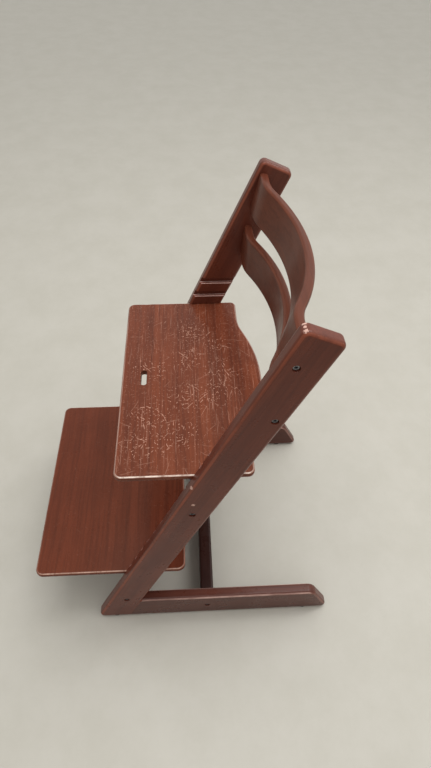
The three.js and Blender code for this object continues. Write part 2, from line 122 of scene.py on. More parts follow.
# ---------- Places, from the frame ----------
LEG_LOW, LEG_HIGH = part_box("leg_left")
RUNNER_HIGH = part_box("runner_left")[1]
INNER_X = LEG_LOW.x
OUTER_X = LEG_HIGH.x
BOARD = OUTER_X - INNER_X
TOP_Z = LEG_HIGH.z
FLOOR_GAP = LEG_LOW.z
RUNNER_TOP = RUNNER_HIGH.z
TOE_Y = RUNNER_HIGH.y - BASE_DEPTH

SIN_LEG = math.sin(LEG_ANGLE)
COS_LEG = math.cos(LEG_ANGLE)
LEG_LENGTH = (TOP_Z + LEG_CORNER * (SIN_LEG + COS_LEG - 1) - LEG_WIDTH * COS_LEG) / SIN_LEG
LEG_REAR = LEG_WIDTH / SIN_LEG
GROOVE_PITCH = (TOP_Z - TOP_GROOVE_DROP - LOWEST_GROOVE) / (GROOVE_COUNT - 1)

EDGE_STEPS = 7
CORNER_STEPS = 12
SECTION_STEPS = 8
SEAT_BOW_STEPS = 20
SLAT_BOW_STEPS = 22
LIP_STEPS = 5
FILLET_STEPS = 4
HEAD_STEPS = 5
TURNED_SIDES = 48
SHARP_ANGLE = math.radians(35)

LEG_BOLTS = ("rod_bolt_lower", "rod_bolt_upper", "backrest_bolt_lower", "backrest_bolt_upper")


def on_leg(along, in_front):
    """The point (Y, Z) at a distance along the leg from the floor and in front of its rear edge."""
    y = TOE_Y + LEG_REAR + along * COS_LEG - in_front * SIN_LEG
    return Vector((y, along * SIN_LEG + in_front * COS_LEG))


LOWER_SLAT = on_leg(LEG_LENGTH - LOWER_BOLT_FROM_TOP, LOWER_BOLT_INSET)
UPPER_SLAT = LOWER_SLAT + SLAT_PITCH * Vector((math.sin(BOLT_LINE_TILT), math.cos(BOLT_LINE_TILT)))
SLAT_PLACES = {"lower": LOWER_SLAT, "upper": UPPER_SLAT}


# ---------- Outlines ----------
def arc(centre, radius, start, end, steps):
    """Points on an arc, both ends included. Angles in radians."""
    angles = [start + (end - start) * i / steps for i in range(steps + 1)]
    return [Vector((centre[0] + radius * math.cos(a), centre[1] + radius * math.sin(a))) for a in angles]


def tidy(points, shortest=1e-6):
    """The outline without points that repeat their neighbour."""
    return [p for i, p in enumerate(points) if (p - points[i - 1]).length > shortest]


def rounded(corners, steps=CORNER_STEPS):
    """A closed outline through corners (x, y, radius), anticlockwise, each rounded by a tangent arc."""
    points = []
    for i, (x, y, radius) in enumerate(corners):
        here = Vector((x, y))
        back = (Vector(corners[i - 1][:2]) - here).normalized()
        ahead = (Vector(corners[(i + 1) % len(corners)][:2]) - here).normalized()
        if radius == 0:
            points.append(here)
            continue
        half = back.angle(ahead) / 2
        centre = here + (back + ahead).normalized() * radius / math.sin(half)
        start = here + back * radius / math.tan(half) - centre
        end = here + ahead * radius / math.tan(half) - centre
        first = math.atan2(start.y, start.x)
        turn = math.remainder(math.atan2(end.y, end.x) - first, 2 * math.pi)
        points += arc(centre, radius, first, first + turn, steps)
    return tidy(points)


def bow(half_span, depth, return_radius, steps, y=0.0):
    """A crown arc between two return arcs, from -X to +X, as a list of points."""
    angle = 2 * math.atan(depth / half_span)
    crown = half_span / math.sin(angle) - return_radius
    down, up = -math.pi / 2, math.pi / 2
    first = arc((-half_span, y + return_radius), return_radius, down, down + angle, steps)
    middle = arc((0, y + depth - crown), crown, up + angle, up - angle, 2 * steps)
    last = arc((half_span, y + return_radius), return_radius, down - angle, down, steps)
    return tidy(first + middle + last)


def inset(points, distance):
    """The anticlockwise outline moved inwards, point for point."""
    moved = []
    for i, point in enumerate(points):
        before = (point - points[i - 1]).normalized()
        after = (points[(i + 1) % len(points)] - point).normalized()
        normals = Vector((-before.y, before.x)), Vector((-after.y, after.x))
        mitre = (normals[0] + normals[1]) / (1 + normals[0].dot(normals[1]))
        moved.append(point + distance * mitre)
    return moved


# ---------- Meshes ----------
def new_object(name, bm):
    bmesh.ops.recalc_face_normals(bm, faces=bm.faces)
    mesh = bpy.data.meshes.new(name)
    bm.to_mesh(mesh)
    bm.free()
    made = bpy.data.objects.new(name, mesh)
    bpy.context.scene.collection.objects.link(made)
    return made


def skin(bm, rings):
    """Joins closed rings of points into a tube with a face on each end."""
    made = [[bm.verts.new(point) for point in ring] for ring in rings]
    for low, high in zip(made, made[1:]):
        for i in range(len(low)):
            bm.faces.new((low[i - 1], low[i], high[i], high[i - 1]))
    bm.faces.new(reversed(made[0]))
    bm.faces.new(made[-1])


def plate(outline, thickness, radius, steps=EDGE_STEPS):
    """A plate from z = 0 up, as rings of points, with its edges rounded over."""
    rings = []
    for i in range(steps + 1):
        a = math.pi / 2 * i / steps
        rings.append((radius * (1 - math.sin(a)), radius * (1 - math.cos(a))))
    rings += [(away, thickness - height) for away, height in reversed(rings)]
    return [[Vector((p.x, p.y, z)) for p in inset(outline, away)] for away, z in rings]


def on_side(rings, x):
    """A plate stood on edge: the outline's x and y become Y and Z, and its thickness runs along +X."""
    return [[Vector((x + p.z, p.x, p.y)) for p in ring] for ring in rings]


def turned(profile, point=(0, 0), axis="X", sides=TURNED_SIDES):
    """Rings of a turned piece. The profile gives (distance along the axis, radius) from end to end."""
    rings = []
    for along, radius in profile:
        ring = []
        for p in arc((0, 0), radius, 0, 2 * math.pi * (sides - 1) / sides, sides - 1):
            if axis == "X":
                ring.append(Vector((along, point[0] + p.x, point[1] + p.y)))
            elif axis == "Y":
                ring.append(Vector((point[0] + p.y, along, point[1] + p.x)))
            else:
                ring.append(Vector((point[0] + p.x, point[1] + p.y, along)))
        rings.append(ring)
    return rings


def rounded_rod(start, end, radius, rounding, steps=4):
    """The profile of a rod with rounded ends."""
    profile = []
    for i in range(steps + 1):
        a = math.pi / 2 * i / steps
        profile.append((start + rounding * (1 - math.cos(a)), radius - rounding * (1 - math.sin(a))))
    return profile + [(start + end - along, r) for along, r in reversed(profile)]


def solid(name, rings):
    bm = bmesh.new()
    skin(bm, rings)
    return new_object(name, bm)


def joined(name, pieces):
    """Several separate closed pieces, each a list of rings, in one mesh."""
    bm = bmesh.new()
    for rings in pieces:
        skin(bm, rings)
    return new_object(name, bm)


def carve(target, cutter, operation="DIFFERENCE"):
    """Cuts the target with another object, which is then removed."""
    modifier = target.modifiers.new("carve", "BOOLEAN")
    modifier.operation = operation
    modifier.solver = "EXACT"
    modifier.object = cutter
    bpy.context.view_layer.update()
    result = bpy.data.meshes.new_from_object(target.evaluated_get(bpy.context.evaluated_depsgraph_get()))
    target.modifiers.clear()
    target.data = result
    bpy.data.objects.remove(cutter)
    return target


def mirrored(source, name):
    """The same piece on the other side of the chair."""
    mesh = source.data.copy()
    mesh.transform(Matrix.Diagonal((-1, 1, 1, 1)))
    mesh.flip_normals()
    made = bpy.data.objects.new(name, mesh)
    bpy.context.scene.collection.objects.link(made)
    return made


def placed(piece, matrix):
    piece.data.transform(matrix)
    return piece


def finish_piece(piece, node, body, material):
    """Smooths the piece, gives it its material and lets it stand for its CAD node."""
    mesh = piece.data
    mesh.name = piece.name
    mesh.shade_smooth()
    mesh.set_sharp_from_angle(angle=SHARP_ANGLE)
    normals = piece.modifiers.new("flat faces stay flat", "WEIGHTED_NORMAL")
    normals.keep_sharp = True
    mesh.materials.clear()
    mesh.materials.append(material)
    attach(piece, body)
    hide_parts(node)


# ---------- Side frames ----------
def side_board(name):
    corner_y = TOE_Y + BASE_DEPTH + TOE_RADIUS * (1 / math.tan(RUNNER_END_ANGLE / 2) - 1)
    rear_top_y = corner_y - (RUNNER_TOP - FLOOR_GAP) / math.tan(RUNNER_END_ANGLE)
    front_top = on_leg(LEG_LENGTH, LEG_WIDTH)
    rear_top = on_leg(LEG_LENGTH, 0)
    inner = on_leg(RUNNER_TOP / SIN_LEG, 0)
    outline = rounded([
        (TOE_Y + FLOOR_GAP / math.tan(LEG_ANGLE), FLOOR_GAP, TOE_RADIUS),
        (corner_y, FLOOR_GAP, TOE_RADIUS),
        (rear_top_y, RUNNER_TOP, RUNNER_TOP_RADIUS),
        (inner.x, inner.y, 0),
        (rear_top.x, rear_top.y, LEG_CORNER),
        (front_top.x, front_top.y, LEG_CORNER),
    ])
    return solid(name, on_side(plate(outline, BOARD, BOARD_EDGE), INNER_X))


def side_of_joint(towards_front):
    """Everything on one side of the line where the runner is glued to the leg's rear edge."""
    shift = 0 if towards_front else -JOINT_LINE
    far = 2 * TOP_Z
    across = far if towards_front else -far
    near = [on_leg(-far, shift), on_leg(far, shift)]
    ends = [*near, on_leg(far, shift + across), on_leg(-far, shift + across)]
    rings = [[Vector((x, p.x, p.y)) for p in ends] for x in (INNER_X - BOARD, OUTER_X + BOARD)]
    return solid("joint_cutter", rings)


def groove_cutter(index):
    """A groove across the inner face of a leg, with a softened mouth and small fillets at its floor."""
    floor = TOP_Z - TOP_GROOVE_DROP - index * GROOVE_PITCH
    low, high = floor, floor + GROOVE_HEIGHT
    deep = INNER_X + GROOVE_DEPTH
    lip, fillet = GROOVE_LIP, GROOVE_FILLET
    quarter = math.pi / 2
    turns = [quarter * i / LIP_STEPS for i in range(LIP_STEPS + 1)]
    softened = [(INNER_X + lip * (1 - math.cos(a)), lip * (1 - math.sin(a))) for a in turns]
    outline = [Vector((INNER_X - 2 * lip, low - lip))]
    outline += [Vector((x, low - away)) for x, away in softened]
    outline += arc((deep - fillet, low + fillet), fillet, -quarter, 0, FILLET_STEPS)
    outline += arc((deep - fillet, high - fillet), fillet, 0, quarter, FILLET_STEPS)
    outline += [Vector((x, high + away)) for x, away in reversed(softened)]
    outline += [Vector((INNER_X - 2 * lip, high + lip))]
    centre_y = TOE_Y + (floor + GROOVE_HEIGHT / 2) / math.tan(LEG_ANGLE) + LEG_REAR / 2
    reach = 1.5 * LEG_WIDTH
    return [[Vector((p.x, y, p.y)) for p in tidy(outline)] for y in (centre_y - reach, centre_y + reach)]


def bolt_hole(node):
    """A bolt's hole through the board, with the pocket for its head, round the CAD bolt of that name."""
    low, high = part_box(node)
    centre = ((low.y + high.y) / 2, (low.z + high.z) / 2)
    seat = high.x - HEAD_HEIGHT
    pocket = HEAD_RADIUS + POCKET_ROOM
    rim = HOLE_RIM
    profile = [
        (INNER_X - BOARD, SHANK_RADIUS + POCKET_ROOM),
        (seat, SHANK_RADIUS + POCKET_ROOM),
        (seat, pocket),
        (OUTER_X - rim, pocket),
        (OUTER_X, pocket + rim * RIM_LEAN),
        (OUTER_X + rim, pocket + 2 * rim),
        (OUTER_X + BOARD, pocket + 2 * rim),
    ]
    return turned(profile, centre)


def build_sides(material):
    leg = carve(side_board("left_leg"), side_of_joint(True), "INTERSECT")
    cutters = [groove_cutter(i) for i in range(GROOVE_COUNT)]
    cutters += [bolt_hole(kind + "_left") for kind in LEG_BOLTS]
    leg = carve(leg, joined("leg_cutters", cutters))
    runner = carve(side_board("left_runner"), side_of_joint(False), "INTERSECT")
    runner = carve(runner, joined("runner_cutters", [bolt_hole("crossbar_bolt_left")]))
    for piece, kind in ((leg, "leg"), (runner, "runner")):
        other = mirrored(piece, "right_" + kind)
        finish_piece(piece, kind + "_left", "frame", material[kind])
        finish_piece(other, kind + "_right", "frame", material[kind])


# ---------- Plates ----------
def build_seat(material):
    low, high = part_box("seat_plate")
    half = high.x
    quarter = math.pi / 2
    front, shoulder = SEAT_FRONT_RADIUS, SEAT_SHOULDER_RADIUS
    outline = arc((-half + front, front), front, 2 * quarter, 3 * quarter, CORNER_STEPS)
    outline += arc((half - front, front), front, -quarter, 0, CORNER_STEPS)
    outline += arc((half - shoulder, SEAT_SIDE - shoulder), shoulder, 0, quarter, CORNER_STEPS)
    span = half - SEAT_SHOULDER_WIDTH
    outline += reversed(bow(span, SEAT_BOW, SEAT_RETURN_RADIUS, SEAT_BOW_STEPS, SEAT_SIDE))
    outline += arc((-half + shoulder, SEAT_SIDE - shoulder), shoulder, quarter, 2 * quarter, CORNER_STEPS)
    thickness = high.z - low.z
    seat = solid("seat", plate(tidy(outline), thickness, PLATE_EDGE))
    end = SLOT_WIDTH / 2
    reach = SLOT_LENGTH / 2 - end
    slot = arc((-reach, SLOT_INSET), end, quarter, 3 * quarter, CORNER_STEPS)
    slot += arc((reach, SLOT_INSET), end, -quarter, quarter, CORNER_STEPS)
    rim = SLOT_RIM
    profile = [
        (-2 * rim, -rim),
        (-rim * RIM_LEAN, 0),
        (0, rim),
        (0, thickness - rim),
        (-rim * RIM_LEAN, thickness),
        (-2 * rim, thickness + rim),
    ]
    rings = [[Vector((p.x, p.y, z)) for p in inset(slot, away)] for away, z in profile]
    seat = carve(seat, solid("slot_cutter", rings))
    placed(seat, Matrix.Translation((0, low.y, low.z)))
    finish_piece(seat, "seat_plate", "seat", material)


def build_footplate(material):
    low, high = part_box("footplate")
    radius = FOOTPLATE_RADIUS
    outline = rounded([
        (low.x, low.y, radius),
        (high.x, low.y, radius),
        (high.x, high.y, radius),
        (low.x, high.y, radius),
    ])
    footplate = solid("foot_rest", plate(outline, high.z - low.z, PLATE_EDGE))
    placed(footplate, Matrix.Translation((0, 0, low.z)))
    finish_piece(footplate, "footplate", "footrest", material)


# ---------- Backrest slats ----------
def slat_rings():
    """The bent slat in its own frame: X across, Y rearwards, Z up, origin on the line of its bolts."""
    half = INNER_X - GAP
    line = [Vector((-half, 0))]
    line += bow(INNER_X - SLAT_TAB, SLAT_BOW, SLAT_RETURN_RADIUS, SLAT_BOW_STEPS)
    line += [Vector((half, 0))]
    t = SLAT_THICKNESS / 2
    low, high = SLAT_BOLT_DROP - SLAT_HEIGHT / 2, SLAT_BOLT_DROP + SLAT_HEIGHT / 2
    corners = [(-t, low), (t, low), (t, high), (-t, high)]
    section = rounded([(*corner, SLAT_EDGE) for corner in corners], SECTION_STEPS)
    rings = []
    for i, point in enumerate(line):
        before = line[max(i - 1, 0)]
        after = line[min(i + 1, len(line) - 1)]
        along = (after - before).normalized()
        if i in (0, len(line) - 1):
            along = Vector((1, 0))
        across = Vector((-along.y, along.x))
        rings.append([Vector((*(point + p.x * across), p.y)) for p in section])
    return rings


def build_slats(material):
    for level, place in SLAT_PLACES.items():
        tilt = SLAT_TILTS[level]
        slat = solid(level + "_slat", slat_rings())
        placed(slat, Matrix.Translation((0, place.x, place.y)) @ Matrix.Rotation(-tilt, 4, "X"))
        holes = []
        for hand in ("left", "right"):
            holes.append(nut_hole(f"backrest_nut_{level}_{hand}", SLAT_BARREL, tilt))
        carve(slat, joined("nut_holes", holes))
        finish_piece(slat, f"backrest_slat_{level}", "frame", material)


def node_centre(node):
    low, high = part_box(node)
    return (low + high) / 2


def nut_hole(node, length, tilt=0.0):
    """The hole for a barrel nut, from the nut's inner end to well behind the piece."""
    radius = BARREL_RADIUS + POCKET_ROOM
    rings = turned([(-length / 2 - POCKET_ROOM, radius), (BOARD * 2, radius)], axis="Y")
    turn = Matrix.Translation(node_centre(node)) @ Matrix.Rotation(-tilt, 4, "X")
    return [[turn @ p for p in ring] for ring in rings]


# ---------- Cross pieces and fasteners ----------
def build_crossbar(material):
    low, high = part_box("crossbar")
    outline = rounded([
        (low.y, low.z, CROSSBAR_EDGE),
        (high.y, low.z, CROSSBAR_EDGE),
        (high.y, high.z, CROSSBAR_EDGE),
        (low.y, high.z, CROSSBAR_EDGE),
    ], SECTION_STEPS)
    rings = on_side(plate(outline, high.x - low.x, GAP, 1), low.x)
    bar = solid("cross_bar", rings)
    holes = [nut_hole("crossbar_nut_" + hand, CROSSBAR_BARREL) for hand in ("left", "right")]
    carve(bar, joined("crossbar_holes", holes))
    finish_piece(bar, "crossbar", "frame", material)


def build_rods(material):
    for level in ("lower", "upper"):
        node = "cross_rod_" + level
        low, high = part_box(node)
        centre = node_centre(node)
        radius = (high.z - low.z) / 2
        profile = rounded_rod(low.x, high.x, radius, ROD_ROUNDING)
        rod = solid(level + "_rod", turned(profile, (centre.y, centre.z)))
        finish_piece(rod, node, "frame", material)


def bolt(name, node, mirror):
    """A bolt with a rounded head and a hexagon socket, turned to face the chair's other side by mirror -1."""
    low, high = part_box(node)
    outer = high.x if mirror > 0 else -low.x
    inner = low.x if mirror > 0 else -high.x
    centre = node_centre(node)
    seat = outer - HEAD_HEIGHT
    profile = [(inner, SHANK_RADIUS - SHANK_TAPER), (inner + SHANK_TAPER, SHANK_RADIUS)]
    profile += [(seat, SHANK_RADIUS), (seat, HEAD_RADIUS)]
    for i in range(HEAD_STEPS + 1):
        a = math.pi / 2 * i / HEAD_STEPS
        along = outer - HEAD_ROUNDING * (1 - math.sin(a))
        profile.append((along, HEAD_RADIUS - HEAD_ROUNDING * (1 - math.cos(a))))
    made = solid(name, turned(profile, (centre.y, centre.z)))
    radius = SOCKET_ACROSS / math.sqrt(3)
    socket = [
        (outer - SOCKET_DEPTH, radius),
        (outer - SOCKET_BREAK, radius),
        (outer + 2 * SOCKET_BREAK, radius * SOCKET_FLARE),
    ]
    carve(made, solid("socket_cutter", turned(socket, (centre.y, centre.z), sides=6)))
    if mirror < 0:
        made.data.transform(Matrix.Diagonal((-1, 1, 1, 1)))
        made.data.flip_normals()
    return made


def barrel_nut(name, node, length, tilt=0.0):
    """A barrel nut along Y, then tilted, with a bore for its bolt and a slot to turn it by in its rear end."""
    profile = rounded_rod(-length / 2, length / 2, BARREL_RADIUS, NUT_ROUNDING)
    nut = solid(name, turned(profile, axis="Y"))
    bore = turned([(-2 * BARREL_RADIUS, SHANK_RADIUS + GAP), (2 * BARREL_RADIUS, SHANK_RADIUS + GAP)])
    half, floor, out = NUT_SLOT_WIDTH / 2, length / 2 - NUT_SLOT_DEPTH, length
    corners = [(floor, -half), (out, -half), (out, half), (floor, half)]
    slot = [[Vector((x, y, z)) for y, z in corners] for x in (-2 * BARREL_RADIUS, 2 * BARREL_RADIUS)]
    carve(nut, joined("nut_cutters", [bore, slot]))
    return placed(nut, Matrix.Translation(node_centre(node)) @ Matrix.Rotation(-tilt, 4, "X"))


def build_nuts(steel):
    for hand in ("left", "right"):
        for level, tilt in SLAT_TILTS.items():
            node = f"backrest_nut_{level}_{hand}"
            nut = barrel_nut(f"{hand}_{level}_slat_nut", node, SLAT_BARREL, tilt)
            finish_piece(nut, node, "frame", steel)
        node = "crossbar_nut_" + hand
        finish_piece(barrel_nut(hand + "_bar_nut", node, CROSSBAR_BARREL), node, "frame", steel)


def build_fasteners(steel):
    hands = {"left": 1, "right": -1}
    for hand, mirror in hands.items():
        for kind in (*LEG_BOLTS, "crossbar_bolt"):
            node = f"{kind}_{hand}"
            finish_piece(bolt(f"{hand}_{kind}", node, mirror), node, "frame", steel)


def build_glides(material):
    for end in ("front", "rear"):
        for hand in ("left", "right"):
            node = f"glide_{end}_{hand}"
            low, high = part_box(node)
            centre = node_centre(node)
            radius = (high.x - low.x) / 2
            top = FLOOR_GAP - GAP
            profile = [(0, radius - GLIDE_TAPER), (GLIDE_BREAK, radius - GLIDE_BREAK), (GLIDE_TAPER, radius)]
            profile += [(top - GLIDE_BREAK, radius), (top, radius - GLIDE_BREAK)]
            profile += [(top, GLIDE_STEM), (high.z, GLIDE_STEM)]
            glide = solid(f"{hand}_{end}_glide", turned(profile, (centre.x, centre.y), "Z"))
            finish_piece(glide, node, "frame", material)


# ---------- Materials ----------
class Graph:
    """A material's nodes, with short calls for the ones used most."""

    def __init__(self, name):
        self.material = bpy.data.materials.new(name)
        self.material.use_nodes = True
        self.tree = self.material.node_tree
        self.tree.nodes.clear()

    def add(self, kind, inputs=(), output=0, **settings):
        node = self.tree.nodes.new("ShaderNode" + kind)
        for key, value in settings.items():
            setattr(node, key, value)
        for key, value in dict(inputs).items():
            if isinstance(value, bpy.types.NodeSocket):
                self.tree.links.new(value, node.inputs[key])
            else:
                node.inputs[key].default_value = value
        return node.outputs[output]

    def math(self, operation, a, b=0.0, c=0.0):
        return self.add("Math", {0: a, 1: b, 2: c}, operation=operation)

    def times(self, a, b):
        return self.math("MULTIPLY", a, b)

    def plus(self, a, b):
        return self.math("ADD", a, b)

    def remap(self, value, low, high, to_low=0.0, to_high=1.0):
        """Low to high becomes to_low to to_high, smoothly and kept between them."""
        inputs = {0: value, 1: low, 2: high, 3: to_low, 4: to_high}
        return self.add("MapRange", inputs, interpolation_type="SMOOTHSTEP")

    def mix(self, factor, a, b):
        return self.add("Mix", {0: factor, 6: a, 7: b}, 2, data_type="RGBA")

    def noise(self, vector, scale, detail, roughness=0.5):
        inputs = {"Vector": vector, "Scale": scale, "Detail": detail, "Roughness": roughness}
        return self.add("TexNoise", inputs)

    def stretched(self, vector, scale):
        return self.add("Mapping", {"Vector": vector, "Scale": scale})

    def parts(self, vector):
        node = self.tree.nodes.new("ShaderNodeSeparateXYZ")
        self.tree.links.new(vector, node.inputs[0])
        return node.outputs

    def finish(self, surface):
        output = self.tree.nodes.new("ShaderNodeOutputMaterial")
        self.tree.links.new(surface, output.inputs["Surface"])
        return self.material


def colour(red, green, blue):
    """An sRGB colour from 0 to 255, as a shader takes it."""
    def linear(value):
        value /= 255
        return value / 12.92 if value <= 0.04045 else ((value + 0.055) / 1.055) ** 2.4
    return linear(red), linear(green), linear(blue), 1.0


SCRATCHED = colour(220, 172, 150)
CHIPPED = colour(204, 166, 152)
# Groove floors: worn lacquer with a painted reflection; groove lips and corners: painted highlight lines,
# partly also wear.
GROOVE_FLOOR_WEAR_AND_SHEEN = colour(150, 98, 88)
GROOVE_LIP_HIGHLIGHT_AND_WEAR = colour(228, 196, 186)
WARM_SHEEN = (1.0, 0.5, 0.3, 1.0)
PLAIN_SHEEN = (1.0, 1.0, 1.0, 1.0)


def marks(g, flat, size, length, width, share, bend=0.12):
    """Fine nicks, one in each cell of a grid of random points, each turned its own way.

    flat is the surface's own two coordinates, size the cells' size, and share how many cells have one."""
    scaled = g.add("VectorMath", {0: flat, "Scale": 1 / size}, operation="SCALE")
    cells = g.tree.nodes.new("ShaderNodeTexVoronoi")
    cells.voronoi_dimensions = "2D"
    cells.inputs["Scale"].default_value = 1.0
    g.tree.links.new(scaled, cells.inputs["Vector"])
    random = g.add("SeparateColor", {0: cells.outputs["Color"]}).node.outputs
    offset = g.add("VectorMath", {0: scaled, 1: cells.outputs["Position"]}, operation="SUBTRACT")
    flattened = g.add("VectorMath", {0: offset, 1: (1, 1, 0)}, operation="MULTIPLY")
    angle = g.times(random[0], 2 * math.pi)
    spun = g.add("VectorRotate", {"Vector": flattened, "Angle": angle}, rotation_type="Z_AXIS")
    x, y, _ = g.parts(spun)
    curved = g.plus(y, g.times(g.times(x, x), bend))
    across = g.remap(g.math("ABSOLUTE", curved), width / size, 0.3 * width / size)
    reach = g.times(g.plus(g.times(random[2], 0.7), 0.3), length / size / 2)
    along = g.remap(g.math("ABSOLUTE", x), reach, g.times(reach, 0.5))
    chosen = g.math("LESS_THAN", random[1], share)
    return g.times(g.times(across, along), chosen)


def spots(g, flat, places):
    """1 at the heart of each place (x, y, radius), fading to 0 at its radius."""
    total = 0.0
    for *place, radius in places:
        away = g.add("VectorMath", {0: flat, 1: (place + [0])[:3]}, 1, operation="DISTANCE")
        total = g.math("MAXIMUM", g.remap(away, radius, 0.25 * radius), total)
    return total


def scratch_mask(g, local, grain, places, general):
    """Bare marks on a plate's top: nicks where it is used most, and faint lines along the grain."""
    axes = g.parts(local)
    flat = g.add("CombineXYZ", {0: axes[0], 1: axes[1]})
    wobble = g.noise(flat, 60.0, 2.0)
    shift = g.add("CombineXYZ", {0: g.times(wobble, 0.005), 1: g.times(wobble, -0.004)})
    flat = g.add("VectorMath", {0: flat, 1: shift}, operation="ADD")
    spread = g.noise(flat, 75.0, 5.0, 0.8)
    busy = spots(g, flat, places) if places else 0.0
    busy = g.remap(g.plus(g.times(busy, 0.36), g.times(spread, 1.6)), 0.85, 1.30)
    nicks = marks(g, flat, 0.0085, 0.0105, 0.00048, 0.55)
    short = marks(g, flat, 0.0050, 0.0046, 0.00045, 0.42)
    dots = marks(g, flat, 0.0110, 0.0032, 0.00085, 0.38)
    lines = marks(g, flat, 0.034, 0.040, 0.00050, 0.70, 0.08)
    close = g.math("MAXIMUM", g.math("MAXIMUM", nicks, g.times(short, 0.8)), dots)
    found = g.times(close, g.plus(g.times(busy, 1.1), general))
    found = g.math("MAXIMUM", found, g.times(lines, g.plus(g.times(busy, 0.7), 1.5 * general)))
    hair = g.noise(g.stretched(grain, (17, 760, 760)), 1.0, 2.0)
    hair = g.times(g.remap(hair, 0.62, 0.74), g.plus(g.times(busy, 0.3), 1.4 * general))
    return g.math("MINIMUM", g.math("MAXIMUM", found, hair), 1.0)


def groove_mask(g, place, normal):
    """The upward floors of the grooves, and their lower lips and back corners, on either leg: bare where the
    plates wear them, and painted pale as painted reflection on the floors and painted highlight lines on the
    lips and corners.
    """
    x, _, z = g.parts(place)
    depth = g.math("SUBTRACT", g.math("ABSOLUTE", x), INNER_X)
    inside = g.remap(depth, GROOVE_DEPTH + 0.002, GROOVE_DEPTH + 0.001)
    below = g.math("LESS_THAN", z, TOP_Z - TOP_GROOVE_DROP + 2 * GROOVE_HEIGHT)
    upward = g.remap(g.parts(normal)[2], 0.45, 0.75)
    floors = g.times(g.times(inside, below), upward)
    lip = g.remap(depth, GROOVE_LIP, 0.3 * GROOVE_LIP)
    corner = g.remap(depth, GROOVE_DEPTH - 2.5 * GROOVE_FILLET, GROOVE_DEPTH - GROOVE_FILLET)
    return floors, g.times(floors, g.math("MAXIMUM", lip, corner))


